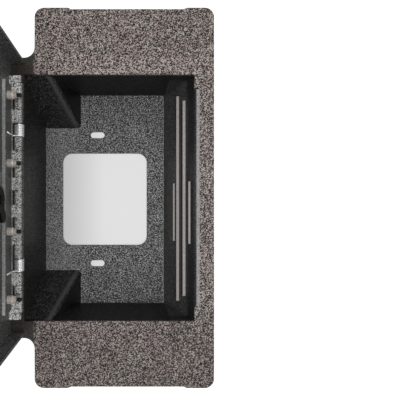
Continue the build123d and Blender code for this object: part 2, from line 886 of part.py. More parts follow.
# Bolt and its guides
slide_top = lid_inside - bolt_depth
slide_bottom = slide_top - sheet
lip_middle = lip_middle_z - hinge_z
bolt_web_x = strike_leg_tip_x - bolt_web_clearance - bolt_travel - hinge_x
bolt_back_x = bolt_web_x - slide_width
bolt_half = strike_upper_length / 2 - bolt_end_clearance
fork_end_x = lock_x - fork_reach
post_x = bolt_web_x - post_set_back
outer_post_y = bolt_half - post_end_inset
inner_post_y = outer_post_y - post_pair_spacing
post_ys = (-outer_post_y, -inner_post_y, inner_post_y, outer_post_y)


def make_bolt():
    """Bolt bent from one sheet: a slide with a fork round the lock, a web, and a long lip."""
    slide = slide_top - sheet / 2
    web = bolt_web_x - sheet / 2
    bolt = bent_sheet(
        ((bolt_back_x, slide), (web, slide), (web, lip_middle), (bolt_tip_x, lip_middle)),
        -bolt_half, bolt_half,
    )
    back_corners = [
        e for e in bolt.edges().filter_by(Axis.Z)
        if abs(e.center().X - bolt_back_x) < near and abs(abs(e.center().Y) - bolt_half) < near
    ]
    bolt = fillet(back_corners, bolt_corner_radius)
    fork = Pos((fork_end_x + bolt_back_x) / 2, lock_y) * Rectangle(
        bolt_back_x - fork_end_x, 2 * fork_half_width
    )
    bolt += Pos(0, 0, slide_bottom) * extrude(fork, sheet)
    fork_half = lock_radius + fork_clearance
    cuts = Pos((fork_end_x + lock_x) / 2, lock_y) * Rectangle(lock_x - fork_end_x, 2 * fork_half)
    cuts += Pos(lock_x, lock_y) * Circle(fork_half)
    notch_half = crank_pin_radius + drive_clearance
    notch_end = crank_throw + crank_pin_radius + drive_notch_end_clearance
    cuts += Pos(crank_pin_x, lock_y - notch_end / 2) * Rectangle(2 * notch_half, notch_end)
    slot_half = post_shoulder_radius + post_slot_clearance
    for y in post_ys:
        cuts += Pos(post_x - bolt_travel / 2, y) * SlotCenterToCenter(bolt_travel, 2 * slot_half)
    return bolt - Pos(0, 0, slide_bottom) * extrude(cuts, sheet)


shoulder_end = slide_bottom - post_over_clearance


def make_guide_posts():
    """Shouldered posts welded to the lid's panel, one in each slot of the bolt."""
    shapes = []
    for y in post_ys:
        post = rod_z(post_radius, slide_top + post_under_clearance, lid_inside, post_x, y)
        post += rod_z(post_shoulder_radius, shoulder_end, lid_inside, post_x, y)
        shapes.append(post - rod_z(screw_radius, shoulder_end, shoulder_end + screw_length, post_x, y))
    return Compound(shapes)


def make_guide_washers():
    """Washers that keep the bolt on its posts."""
    low = shoulder_end - washer_thickness
    return Compound([
        rod_z(washer_radius, low, shoulder_end, post_x, y)
        - rod_z(screw_radius, low, shoulder_end, post_x, y)
        for y in post_ys
    ])


def make_guide_screws():
    """Pan-head screws through the washers into the posts."""
    head_top = shoulder_end - washer_thickness
    shapes = []
    for y in post_ys:
        head = rod_z(screw_head_radius, head_top - screw_head_height, head_top, post_x, y)
        rim = head.edges().filter_by(GeomType.CIRCLE).sort_by(Axis.Z)[0]
        shank = rod_z(screw_radius, head_top, shoulder_end + screw_length, post_x, y)
        shapes.append(fillet(rim, screw_head_height / 2) + shank)
    return Compound(shapes)


floor_tray = make_floor_tray()
rear_gusset = make_rear_gusset(floor_tray)
parts["floor_tray"] = floor_tray
parts["hinge_side_wall"] = make_hinge_wall(floor_tray)
parts["latch_side_wall"] = make_latch_wall(floor_tray)
parts["top_plate"] = make_top_plate()
parts["rear_gusset"] = rear_gusset
parts["front_gusset"] = mirrored(rear_gusset)
parts["strike_channel"] = make_strike_channel()
parts["strike_saddle"] = make_strike_saddle()
parts["body_hinge_leaf"] = make_body_leaf()
parts["hinge_pin"] = make_hinge_pin()

spring_line = make_spring_line()
spring_gap = least_self_gap(spring_line)
print(f"spring wire: least gap to itself {spring_gap:.2f} mm, over {wire_least_gap} mm wanted")
for spring_name, spring_place in spring_places.items():
    parts[f"hinge_spring_{spring_name}"] = make_spring(spring_line, spring_place)

place_lid("lid_hinge_leaf", make_lid_leaf())
place_lid("lid_pan", make_lid_pan())
place_lid("lid_studs", make_studs())
place_lid("lid_lock_nuts", make_lock_nuts())
place_lid("lock_body", make_lock_body())
place_lid("escutcheon", make_escutcheon())
place_lid("lock_nut", make_lock_nut())
place_lid("knob", make_knob())
place_lid("key_plug", make_key_plug())
place_lid("spindle", make_spindle())
place_lid("crank", make_crank())
place_lid("crank_screw", make_crank_screw())
place_lid("bolt", make_bolt())
place_lid("guide_posts", make_guide_posts())
place_lid("guide_washers", make_guide_washers())
place_lid("guide_screws", make_guide_screws())

os.makedirs("parts", exist_ok=True)
for name, shape in parts.items():
    export_step(shape, f"parts/{name}.step")
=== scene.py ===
"""Looks of a console safe: a coated sheet-steel box with a sprung lid that rests open.

All lengths are in metres, in the part's own frame: +Z up, +Y along the hinge, +X from the hinge
to the strike, with the origin on the underside of the floor.
"""

import logging
from dataclasses import dataclass, field, replace
from enum import Enum
from functools import partial
from math import cos, pi, sin
from typing import Callable, Sequence

import bpy
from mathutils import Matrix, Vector


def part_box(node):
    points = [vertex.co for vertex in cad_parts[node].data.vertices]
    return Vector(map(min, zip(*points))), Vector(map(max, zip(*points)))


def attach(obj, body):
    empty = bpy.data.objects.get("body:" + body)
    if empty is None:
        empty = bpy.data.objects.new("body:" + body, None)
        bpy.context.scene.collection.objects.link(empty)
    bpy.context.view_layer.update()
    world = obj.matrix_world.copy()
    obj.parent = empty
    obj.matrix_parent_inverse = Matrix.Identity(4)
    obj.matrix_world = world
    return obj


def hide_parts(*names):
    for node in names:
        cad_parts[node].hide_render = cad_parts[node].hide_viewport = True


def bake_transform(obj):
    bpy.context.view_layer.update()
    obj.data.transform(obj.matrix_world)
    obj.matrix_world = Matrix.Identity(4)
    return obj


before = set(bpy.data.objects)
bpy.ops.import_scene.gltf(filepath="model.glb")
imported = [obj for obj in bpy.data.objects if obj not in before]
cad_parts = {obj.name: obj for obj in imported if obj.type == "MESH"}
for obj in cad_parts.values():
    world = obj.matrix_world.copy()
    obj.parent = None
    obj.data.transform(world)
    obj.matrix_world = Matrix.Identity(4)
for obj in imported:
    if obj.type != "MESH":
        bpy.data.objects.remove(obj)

log = logging.getLogger("console_safe")

Colour = tuple[float, float, float]
Point = tuple[float, float, float]

MM = 0.001
ALONG_X: Point = (1.0, 0.0, 0.0)
ALONG_Y: Point = (0.0, 1.0, 0.0)
ALONG_Z: Point = (0.0, 0.0, 1.0)


class Body(Enum):
    """Bodies of the safe that its pieces move with."""

    BOX = "root"
    LID = "lid"


class Slot(Enum):
    """Finishes named by the part's record."""

    COAT = "powder_coat"
    SPRING = "spring_steel"
    ZINC = "zinc"


# Mesh helpers

def mesh_piece(name: str, points: Sequence[Vector], faces: Sequence[Sequence[int]],
               smooth: bool = True) -> bpy.types.Object:
    """Makes a mesh object.

    Args:
        name: The piece's name.
        points: Its corners, in metres.
        faces: Rows of corner numbers.
        smooth: Whether its faces are shaded smooth.

    Returns:
        The new object, linked to the scene.
    """
    mesh = bpy.data.meshes.new(name)
    mesh.from_pydata([tuple(point) for point in points], [], [tuple(face) for face in faces])
    mesh.validate()
    mesh.update()
    for polygon in mesh.polygons:
        polygon.use_smooth = smooth
    piece = bpy.data.objects.new(name, mesh)
    bpy.context.scene.collection.objects.link(piece)
    return piece


def ring_points(centre: Point, sides: int, reach: Callable[[float], float]) -> list[Vector]:
    """Corners of a ring that faces along X.

    Args:
        centre: The ring's centre, in metres.
        sides: How many corners it has.
        reach: Gives the distance from the centre at an angle.

    Returns:
        The corners, in order of angle.
    """
    x, y, z = centre
    corners = []
    for side in range(sides):
        angle = 2 * pi * side / sides
        radius = reach(angle)
        corners.append(Vector((x, y + radius * cos(angle), z + radius * sin(angle))))
    return corners


def band_faces(low: int, high: int, sides: int) -> list[list[int]]:
    """Faces between two rings of corners.

    Args:
        low: Number of the first ring's first corner.
        high: Number of the second ring's first corner.
        sides: How many corners each ring has.

    Returns:
        Rows of corner numbers.
    """
    faces = []
    for side in range(sides):
        after = (side + 1) % sides
        faces.append([low + side, low + after, high + after, high + side])
    return faces


def ring_faces(rings: int, sides: int, first: int = 0) -> list[list[int]]:
    """Faces of a closed tube made of rings, with both ends capped.

    Args:
        rings: How many rings the tube has.
        sides: How many corners each ring has.
        first: Number of the tube's first corner.

    Returns:
        Rows of corner numbers.
    """
    faces = []
    for ring in range(rings - 1):
        low = first + ring * sides
        faces += band_faces(low, low + sides, sides)
    faces.append([first + side for side in reversed(range(sides))])
    faces.append([first + (rings - 1) * sides + side for side in range(sides)])
    return faces


def tube_piece(name: str, path: Sequence[Vector], radius: float,
               sides: int) -> bpy.types.Object:
    """Round wire along a path.

    Args:
        name: The piece's name.
        path: Points of the wire's middle line.
        radius: The wire's radius.
        sides: How many flats stand for its round section.

    Returns:
        The new object.
    """
    points = []
    across = Vector(ALONG_Y)
    for number, spot in enumerate(path):
        before = path[max(number - 1, 0)]
        after = path[min(number + 1, len(path) - 1)]
        way = (after - before).normalized()
        across = (across - way * across.dot(way)).normalized()
        up = way.cross(across)
        for side in range(sides):
            angle = 2 * pi * side / sides
            points.append(spot + (across * cos(angle) + up * sin(angle)) * radius)
    return mesh_piece(name, points, ring_faces(len(path), sides))


def copied_piece(name: str, node: str, picked: Callable[[Vector], bool],
                 shift: Vector) -> bpy.types.Object:
    """Makes a piece like a packed one, with some of its corners moved.

    Args:
        name: The new piece's name.
        node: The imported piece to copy.
        picked: Says whether a corner moves.
        shift: How far those corners move.

    Returns:
        The new object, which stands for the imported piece.
    """
    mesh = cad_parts[node].data.copy()
    mesh.name = name
    mesh.materials.clear()
    for corner in mesh.vertices:
        if picked(corner.co):
            corner.co += shift
    mesh.update()
    piece = bpy.data.objects.new(name, mesh)
    bpy.context.scene.collection.objects.link(piece)
    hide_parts(node)
    return piece


# Shader helpers

class Nodes:
    """A node tree with short calls to add and join nodes."""

    def __init__(self, tree: bpy.types.NodeTree) -> None:
        """Keeps the tree."""
        self.tree = tree

    def add(self, kind: str, **values: object) -> bpy.types.Node:
        """Adds a node.

        Args:
            kind: Blender's name for the node type.
            values: Properties of the node.

        Returns:
            The new node.
        """
        node = self.tree.nodes.new(kind)
        for name, value in values.items():
            setattr(node, name, value)
        return node

    def join(self, source: bpy.types.NodeSocket, target: bpy.types.NodeSocket) -> None:
        """Links one socket to another."""
        self.tree.links.new(source, target)

    def noise(self, where: bpy.types.NodeSocket, scale: object, detail: float,
              roughness: float, distortion: float = 0.0) -> bpy.types.NodeSocket:
        """Adds a noise texture.

        Args:
            where: Socket with the place.
            scale: A number, or a socket with the scale.
            detail: How many finer layers it has.
            roughness: How strong those layers are.
            distortion: How far its shapes are bent.

        Returns:
            The socket with its value, from 0 to 1.
        """
        node = self.add("ShaderNodeTexNoise")
        self.join(where, node.inputs["Vector"])
        self.feed(scale, node.inputs["Scale"])
        node.inputs["Detail"].default_value = detail
        node.inputs["Roughness"].default_value = roughness
        node.inputs["Distortion"].default_value = distortion
        return node.outputs["Fac"]

    def feed(self, value: object, target: bpy.types.NodeSocket) -> None:
        """Gives a socket its value.

        Args:
            value: A socket to link, or a plain value to set.
            target: The socket that takes it.
        """
        if isinstance(value, bpy.types.NodeSocket):
            self.join(value, target)
        else:
            target.default_value = value

    def spread(self, value: bpy.types.NodeSocket, low: object, high: object,
               way: str = "SMOOTHSTEP") -> bpy.types.NodeSocket:
        """Stretches a value so that low becomes 0 and high becomes 1.

        Args:
            value: Socket with the value.
            low: The value that becomes 0.
            high: The value that becomes 1.
            way: Blender's name for the kind of step between them.

        Returns:
            The socket with the new value.
        """
        node = self.add("ShaderNodeMapRange", interpolation_type=way)
        self.join(value, node.inputs["Value"])
        self.feed(low, node.inputs["From Min"])
        self.feed(high, node.inputs["From Max"])
        return node.outputs["Result"]

    def sum(self, operation: str, first: object, second: object) -> bpy.types.NodeSocket:
        """Works out one value from two.

        Args:
            operation: Blender's name for the sum, such as MULTIPLY.
            first: The first value or socket.
            second: The second value or socket.

        Returns:
            The socket with the answer.
        """
        node = self.add("ShaderNodeMath", operation=operation)
        self.feed(first, node.inputs[0])
        self.feed(second, node.inputs[1])
        return node.outputs["Value"]

    def blend(self, share: object, first: object, second: object) -> bpy.types.NodeSocket:
        """Mixes two colours.

        Args:
            share: How much of the second colour there is.
            first: The first colour or socket.
            second: The second colour or socket.

        Returns:
            The socket with the mixed colour.
        """
        node = self.add("ShaderNodeMix", data_type="RGBA")
        self.feed(share, node.inputs["Factor"])
        self.feed(first, node.inputs[6])
        self.feed(second, node.inputs[7])
        return node.outputs[2]


def grey(level: float) -> Colour:
    """A neutral colour."""
    return (level, level, level)


def opaque(colour: Colour) -> tuple[float, float, float, float]:
    """The colour with full cover."""
    return (*colour, 1.0)


def new_group(name: str, inputs: dict[str, float],
              outputs: Sequence[str]) -> tuple[Nodes, bpy.types.Node, bpy.types.Node]:
    """Starts a shader node group that deals in plain values.

    Args:
        name: The group's name.
        inputs: Its inputs, with their default values.
        outputs: Names of its outputs.

    Returns:
        The group's nodes, its input node and its output node.
    """
    tree = bpy.data.node_groups.new(name, "ShaderNodeTree")
    for label, value in inputs.items():
        socket = tree.interface.new_socket(
            name=label, in_out="INPUT", socket_type="NodeSocketFloat"
        )
        socket.default_value = value
    for label in outputs:
        tree.interface.new_socket(name=label, in_out="OUTPUT", socket_type="NodeSocketFloat")
    nodes = Nodes(tree)
    return nodes, nodes.add("NodeGroupInput"), nodes.add("NodeGroupOutput")


def build_grain_group() -> bpy.types.NodeTree:
    """Pebbled grain of a texture coat: flecks where the crests' painted glints go, slow mottle,
    and height.

    Returns:
        The node group.
    """
    nodes, given, result = new_group(
        "coat_grain", {"Scale": 700.0, "Low": 0.4, "High": 0.66}, ("Fleck", "Mottle", "Height")
    )
    where = nodes.add("ShaderNodeTexCoord").outputs["Object"]
    scale = given.outputs["Scale"]
    worm_share, dot_share = 0.55, 0.45
    dot_scale, mottle_scale = 1.45, 0.06
    worms = nodes.noise(where, scale, detail=1.0, roughness=0.5, distortion=0.7)
    finer = nodes.sum("MULTIPLY", scale, dot_scale)
    dots = nodes.noise(where, finer, detail=0.0, roughness=0.5)
    coarser = nodes.sum("MULTIPLY", scale, mottle_scale)
    slow = nodes.noise(where, coarser, detail=2.0, roughness=0.5)
    mixed = nodes.sum(
        "ADD", nodes.sum("MULTIPLY", worms, worm_share), nodes.sum("MULTIPLY", dots, dot_share)
    )
    fleck = nodes.spread(mixed, given.outputs["Low"], given.outputs["High"], "LINEAR")
    nodes.join(fleck, result.inputs["Fleck"])
    nodes.join(nodes.spread(slow, low=0.3, high=0.7), result.inputs["Mottle"])
    nodes.join(mixed, result.inputs["Height"])
    return nodes.tree


def build_strip_group() -> bpy.types.NodeTree:
    """Mask of a strip between two parallel planes, such as a band of painted shade or a painted
    highlight.

    Returns:
        The node group.
    """
    nodes, given, result = new_group(
        "strip_mask",
        {"X": 0.0, "Y": 0.0, "Z": 1.0, "Start": 0.0, "End": 1.0, "Soft": 0.4 * MM},
        ("Mask",),
    )
    where = nodes.add("ShaderNodeTexCoord").outputs["Object"]
    way = nodes.add("ShaderNodeCombineXYZ")
    for axis in "XYZ":
        nodes.join(given.outputs[axis], way.inputs[axis])
    along = nodes.add("ShaderNodeVectorMath", operation="DOT_PRODUCT")
    nodes.join(where, along.inputs[0])
    nodes.join(way.outputs["Vector"], along.inputs[1])
    depth = along.outputs["Value"]
    soft = given.outputs["Soft"]
    past_start = nodes.spread(
        depth, given.outputs["Start"], nodes.sum("ADD", given.outputs["Start"], soft)
    )
    past_end = nodes.spread(
        depth, nodes.sum("SUBTRACT", given.outputs["End"], soft), given.outputs["End"]
    )
    nodes.join(nodes.sum("SUBTRACT", past_start, past_end), result.inputs["Mask"])
    return nodes.tree


def build_handling_group() -> bpy.types.NodeTree:
    """Fine scratches and dull patches of handled bare metal.

    Returns:
        The node group.
    """
    nodes, given, result = new_group(
        "handled_metal", {"Scale": 300.0, "Stretch": 12.0}, ("Scratch", "Patch")
    )
    where = nodes.add("ShaderNodeTexCoord").outputs["Object"]
    squeeze = nodes.add("ShaderNodeCombineXYZ")
    nodes.join(given.outputs["Stretch"], squeeze.inputs["X"])
    nodes.feed(1.0, squeeze.inputs["Y"])
    nodes.join(given.outputs["Stretch"], squeeze.inputs["Z"])
    stretched = nodes.add("ShaderNodeVectorMath", operation="MULTIPLY")
    nodes.join(where, stretched.inputs[0])
    nodes.join(squeeze.outputs["Vector"], stretched.inputs[1])
    scale, patch_scale = given.outputs["Scale"], 0.6
    scratch = nodes.noise(stretched.outputs["Vector"], scale, detail=4.0, roughness=0.7)
    coarser = nodes.sum("MULTIPLY", scale, patch_scale)
    patch = nodes.noise(where, coarser, detail=2.0, roughness=0.5)
    nodes.join(nodes.spread(scratch, low=0.45, high=0.75), result.inputs["Scratch"])
    nodes.join(nodes.spread(patch, low=0.35, high=0.65), result.inputs["Patch"])
    return nodes.tree


def new_material(name: str) -> tuple[Nodes, bpy.types.Node, bpy.types.Material]:
    """Starts a material.

    Args:
        name: The material's name.

    Returns:
        Its nodes, its Principled BSDF node, and the material.
    """
    material = bpy.data.materials.new(name)
    material.use_nodes = True
    nodes = Nodes(material.node_tree)
    return nodes, material.node_tree.nodes["Principled BSDF"], material


def add_bump(nodes: Nodes, shader: bpy.types.Node, height: bpy.types.NodeSocket,
             strength: float, depth: float) -> None:
    """Adds relief to a shader.

    Args:
        nodes: The material's nodes.
        shader: Its Principled BSDF node.
        height: Socket with the height, from 0 to 1.
        strength: How much of the relief shows.
        depth: The relief's depth in metres.
    """
    bump = nodes.add("ShaderNodeBump")
    bump.inputs["Strength"].default_value = strength
    bump.inputs["Distance"].default_value = depth
    nodes.join(height, bump.inputs["Height"])
    nodes.join(bump.outputs["Normal"], shader.inputs["Normal"])


@dataclass(frozen=True)
class Band:
    """Space between two parallel planes, with soft edges."""

    way: Point
    start: float
    end: float
    soft: float = 0.3 * MM

    def mask(self, nodes: Nodes, group: bpy.types.NodeTree) -> bpy.types.NodeSocket:
        """Adds the band's mask to a material.

        Args:
            nodes: The material's nodes.
            group: The shared strip group.

        Returns:
            The socket with the mask.
        """
        node = nodes.add("ShaderNodeGroup", node_tree=group)
        for axis, value in zip("XYZ", self.way):
            node.inputs[axis].default_value = value
        node.inputs["Start"].default_value = self.start
        node.inputs["End"].default_value = self.end
        node.inputs["Soft"].default_value = self.soft
        return node.outputs["Mask"]


@dataclass(frozen=True)
class Strip(Band):
    """Band of a coated piece in a colour of its own, for painted shade or a painted highlight,
    with a share of the coat's grain.
    """

    colour: Colour = grey(0.0)
    grain: float = 0.3


@dataclass(frozen=True)
class TextureCoat:
    """Black texture powder coat, whose pebbled crests carry a painted glint: bright flecks in
    its colour.
    """

    name: str
    dark: Colour
    light: Colour
    tint: Colour
    scale: float
    low: float = 0.4
    high: float = 0.66
    roughness: float = 0.5
    crest_gloss: float = 0.12
    relief: float = 0.3 * MM
    relief_strength: float = 0.5
    specular: float = 0.4
    strips: tuple[Strip, ...] = ()

    def material(self, grain: bpy.types.NodeTree,
                 strip_group: bpy.types.NodeTree) -> bpy.types.Material:
        """Builds the material.

        Args:
            grain: The shared grain group.
            strip_group: The shared group of strip masks.

        Returns:
            The material.
        """
        nodes, shader, material = new_material(self.name)
        texture = nodes.add("ShaderNodeGroup", node_tree=grain)
        texture.inputs["Scale"].default_value = self.scale
        texture.inputs["Low"].default_value = self.low
        texture.inputs["High"].default_value = self.high
        fleck = texture.outputs["Fleck"]
        # The crest colour is a painted glint, mixed into the base colour where the flecks are.
        painted_crest_glint = nodes.blend(texture.outputs["Mottle"], opaque(self.light), opaque(self.tint))
        colour = nodes.blend(fleck, opaque(self.dark), painted_crest_glint)
        # Each strip lays painted shade or a painted highlight over the coat.
        for strip in self.strips:
            mask = strip.mask(nodes, strip_group)
            share = nodes.sum("MULTIPLY", fleck, strip.grain)
            inside = nodes.blend(share, opaque(strip.colour), painted_crest_glint)
            colour = nodes.blend(mask, colour, inside)
        nodes.join(colour, shader.inputs["Base Color"])
        gloss = nodes.sum("MULTIPLY", fleck, self.crest_gloss)
        nodes.join(nodes.sum("SUBTRACT", self.roughness, gloss), shader.inputs["Roughness"])
        shader.inputs["Specular IOR Level"].default_value = self.specular
        add_bump(nodes, shader, texture.outputs["Height"], self.relief_strength, self.relief)
        return material


@dataclass(frozen=True)
class BareMetal:
    """Plated or polished metal with light handling marks."""

    name: str
    colour: Colour
    patch_colour: Colour
    roughness: float
    metallic: float = 1.0
    specular: float = 0.5
    scratch_roughness: float = 0.18
    scratch_strength: float = 0.15
    scratch_depth: float = 0.03 * MM

    def material(self, handling: bpy.types.NodeTree) -> bpy.types.Material:
        """Builds the material.

        Args:
            handling: The shared group of handling marks.

        Returns:
            The material.
        """
        nodes, shader, material = new_material(self.name)
        marks = nodes.add("ShaderNodeGroup", node_tree=handling)
        scratch = marks.outputs["Scratch"]
        colour = nodes.blend(
            marks.outputs["Patch"], opaque(self.colour), opaque(self.patch_colour)
        )
        nodes.join(colour, shader.inputs["Base Color"])
        rough = nodes.sum("MULTIPLY", scratch, self.scratch_roughness)
        nodes.join(nodes.sum("ADD", self.roughness, rough), shader.inputs["Roughness"])
        shader.inputs["Metallic"].default_value = self.metallic
        shader.inputs["Specular IOR Level"].default_value = self.specular
        add_bump(nodes, shader, scratch, self.scratch_strength, self.scratch_depth)
        return material


@dataclass
class Finishes:
    """Every finish of the safe, built once and handed to the sub-assemblies."""

    grain: bpy.types.NodeTree = field(default_factory=build_grain_group)
    strip: bpy.types.NodeTree = field(default_factory=build_strip_group)
    handling: bpy.types.NodeTree = field(default_factory=build_handling_group)
    made: dict[str, bpy.types.Material] = field(default_factory=dict)

    def coat(self, finish: TextureCoat) -> bpy.types.Material:
        """The material of a texture coat, made on first use.

        Args:
            finish: The coat.

        Returns:
            Its material.
        """
        if finish.name not in self.made:
            self.made[finish.name] = finish.material(self.grain, self.strip)
        return self.made[finish.name]

    def metal(self, finish: BareMetal) -> bpy.types.Material:
        """The material of a bare metal, made on first use.

        Args:
            finish: The metal.

        Returns:
            Its material.
        """
        if finish.name not in self.made:
            self.made[finish.name] = finish.material(self.handling)
        return self.made[finish.name]


# Sloping planes that tones follow: their direction across, and their X at the floor's underside
LATCH_WALL_WAY: Point = (1.0, 0.0, -0.35778)
LATCH_WALL_FOOT = 74.55 * MM
GUSSET_SIDE_WAY: Point = (1.0, 0.0, 0.3274)
GUSSET_SIDE_FOOT = -18.23 * MM

HINGE_SHADE = Strip(
    ALONG_X, -67.2 * MM, -58.0 * MM, soft=1.6 * MM, colour=grey(0.02), grain=0.15
)

PLATE_COAT = TextureCoat(
    "plate_coat", dark=(0.004, 0.003, 0.003), light=(0.47, 0.412, 0.375),
    tint=(0.42, 0.345, 0.33), scale=820.0, low=0.455, high=0.63, specular=0.15,
    strips=(
        # Painted shade: the plate darker towards both ends along Y.
        Strip(
            ALONG_Y, -250.0 * MM, -80.0 * MM, soft=60.0 * MM,
            colour=(0.004, 0.003, 0.003), grain=0.8,
        ),
        Strip(
            ALONG_Y, 112.0 * MM, 140.0 * MM, soft=8.0 * MM,
            colour=(0.006, 0.005, 0.004), grain=1.3,
        ),
        # Painted shadow of the open lid on the plate's wing beside the hinge.
        Strip(
            ALONG_X, -100.0 * MM, -55.2 * MM, soft=3.0 * MM,
            colour=(0.02, 0.017, 0.014), grain=0.06,
        ),
    ),
)
FLOOR_COAT = TextureCoat(
    "floor_coat", dark=grey(0.003), light=grey(0.35), tint=(0.31, 0.305, 0.305),
    scale=830.0, low=0.5, high=0.6, specular=0.12,
    strips=(
        # Painted shade: the floor darker towards both end walls.
        Strip(ALONG_Y, 62.0 * MM, 260.0 * MM, soft=30.0 * MM, colour=grey(0.003), grain=0.84),
        Strip(ALONG_Y, -260.0 * MM, -68.0 * MM, soft=30.0 * MM, colour=grey(0.003), grain=0.84),
        # Painted light: more bright flecks over the floor's hinge-side half, lifting the lid's
        # shade there.
        Strip(ALONG_X, -90.0 * MM, -5.0 * MM, soft=38.0 * MM, colour=grey(0.05), grain=2.4),
        # Painted highlight along the fold where the floor meets the latch wall.
        Strip(ALONG_X, 75.1 * MM, 90.0 * MM, colour=grey(0.2), grain=0.8),
        # Painted shade: the tray's upturned parts above the floor are darker.
        Strip(ALONG_Z, 4.2 * MM, 80.0 * MM, soft=1.5 * MM, colour=grey(0.007), grain=0.1),
    ),
)
# Painted shade: the plate's coat with far darker crests, for walls that catch little light.
WALL_COAT = TextureCoat(
    "wall_coat", dark=grey(0.003), light=grey(0.085), tint=(0.07, 0.07, 0.068),
    scale=640.0, low=0.48, high=0.66, relief=0.2 * MM, specular=0.2,
)
# Painted shade: the plate's coat with darker crests, for the leaning wall that catches less
# light.
LATCH_WALL_COAT = TextureCoat(
    "latch_wall_coat", dark=grey(0.012), light=grey(0.13), tint=grey(0.11),
    scale=700.0, relief=0.2 * MM, specular=0.2,
    strips=(
        # Painted shade near the wall's top, under the plate's edge and tab.
        Strip(ALONG_Z, 50.0 * MM, 69.0 * MM, soft=6.0 * MM, colour=grey(0.008), grain=0.2),
        # Painted highlight along the wall's top edge at the plate.
        Strip(ALONG_Z, 68.8 * MM, 80.0 * MM, colour=(0.36, 0.342, 0.338), grain=1.1),
    ),
)
# Painted shade: the plate's coat with far darker crests, for gussets that catch little light.
GUSSET_COAT = TextureCoat(
    "gusset_coat", dark=grey(0.002), light=grey(0.09), tint=grey(0.075),
    scale=640.0, low=0.48, high=0.64, relief=0.2 * MM, roughness=0.4, specular=0.3,
    strips=(
        # Painted highlight along the gusset's bend.
        Strip(
            GUSSET_SIDE_WAY, GUSSET_SIDE_FOOT - 7.5 * MM, GUSSET_SIDE_FOOT - 0.8 * MM,
            soft=2.8 * MM, colour=grey(0.042), grain=0.7,
        ),
        # Painted shade on the gusset's side face, past the bend.
        Strip(
            GUSSET_SIDE_WAY, GUSSET_SIDE_FOOT - 1.2 * MM, 0.0,
            soft=1.0 * MM, colour=grey(0.002), grain=0.1,
        ),
    ),
)
# Painted shade: the channel's coat is dark and reddish for its inside, behind the wall's plane.
STRIKE_COAT = TextureCoat(
    "strike_coat", dark=(0.007, 0.004, 0.004), light=(0.03, 0.022, 0.022),
    tint=(0.024, 0.016, 0.016), scale=700.0, specular=0.2,
    strips=(
        # Painted highlight on the legs' upturned cut edges, in front of the wall's plane.
        Strip(
            LATCH_WALL_WAY, 0.0, LATCH_WALL_FOOT - 0.6 * MM,
            colour=(0.32, 0.3, 0.292), grain=0.4,
        ),
    ),
)
LID_COAT = TextureCoat(
    "lid_coat", dark=(0.02, 0.021, 0.021), light=(0.34, 0.345, 0.34), tint=grey(0.3),
    scale=700.0, low=0.42, high=0.7,
)
BOLT_COAT = TextureCoat(
    "bolt_coat", dark=(0.02, 0.018, 0.018), light=(0.42, 0.4, 0.39), tint=(0.38, 0.35, 0.35),
    scale=700.0, low=0.42, high=0.7,
)
HINGE_COAT = TextureCoat(
    "hinge_coat", dark=grey(0.02), light=(0.92, 0.92, 0.9), tint=(0.85, 0.82, 0.81),
    scale=780.0, low=0.38, high=0.575,
    strips=(
        # Painted shade on the body leaf below the knuckles' middle: its flat, beside the lid.
        Strip(ALONG_Z, 60.0 * MM, 73.3 * MM, colour=grey(0.02), grain=0.08),
        HINGE_SHADE,
    ),
)
LEAF_COAT = replace(
    HINGE_COAT, name="leaf_coat",
    strips=(
        # Painted shade on the lid leaf's upright face.
        Strip(
            ALONG_Z, 80.1 * MM, 98.2 * MM, soft=0.5 * MM, colour=(0.03, 0.034, 0.031), grain=0.12
        ),
        # Painted highlight on the leaf's top cut edge, which faces the light above.
        Strip(ALONG_Z, 98.2 * MM, 110.0 * MM, colour=(0.42, 0.42, 0.41), grain=0.7),
        HINGE_SHADE,
    ),
)
SPRING_STEEL = BareMetal(
    "spring_wire", (0.94, 0.94, 0.95), (0.88, 0.89, 0.9), roughness=0.34, metallic=0.8
)
ZINC = BareMetal("zinc_plate", (0.76, 0.74, 0.72), (0.7, 0.64, 0.6), roughness=0.34)
NUT_ZINC = BareMetal(
    "nut_plate", (0.95, 0.92, 0.89), (0.92, 0.8, 0.73), roughness=0.22, metallic=0.35
)
THREAD_STEEL = BareMetal(
    "thread_steel", (0.05, 0.045, 0.045), (0.03, 0.025, 0.025), roughness=0.2, metallic=0.7
)
BLACK_OXIDE = BareMetal(
    "black_oxide", (0.008, 0.008, 0.009), (0.014, 0.014, 0.013), roughness=0.6, metallic=0.0,
    specular=0.06,
)
LOCK_ENAMEL = BareMetal(
    "lock_enamel", (0.03, 0.03, 0.032), (0.045, 0.045, 0.046), roughness=0.22, metallic=0.0
)
KEY_BRASS = BareMetal("key_brass", (0.66, 0.52, 0.26), (0.55, 0.42, 0.2), roughness=0.28)
NYLON = BareMetal(
    "nylon_insert", (0.5, 0.51, 0.5), (0.42, 0.43, 0.42), roughness=0.5, metallic=0.0
)


def dress(material: bpy.types.Material, *nodes: str) -> None:
    """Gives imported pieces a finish.

    Args:
        material: Their new material.
        nodes: Names of the pieces.
    """
    for node in nodes:
        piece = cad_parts[node]
        if not piece.material_slots:
            piece.data.materials.append(material)
        for place in piece.material_slots:
            place.material = material
        log.info("dressed %s in %s", node, material.name)


def finish_piece(piece: bpy.types.Object, material: bpy.types.Material) -> None:
    """Gives a modelled piece its finish.

    Args:
        piece: The piece.
        material: Its material.
    """
    piece.data.materials.append(material)
    log.info("made %s", piece.name)


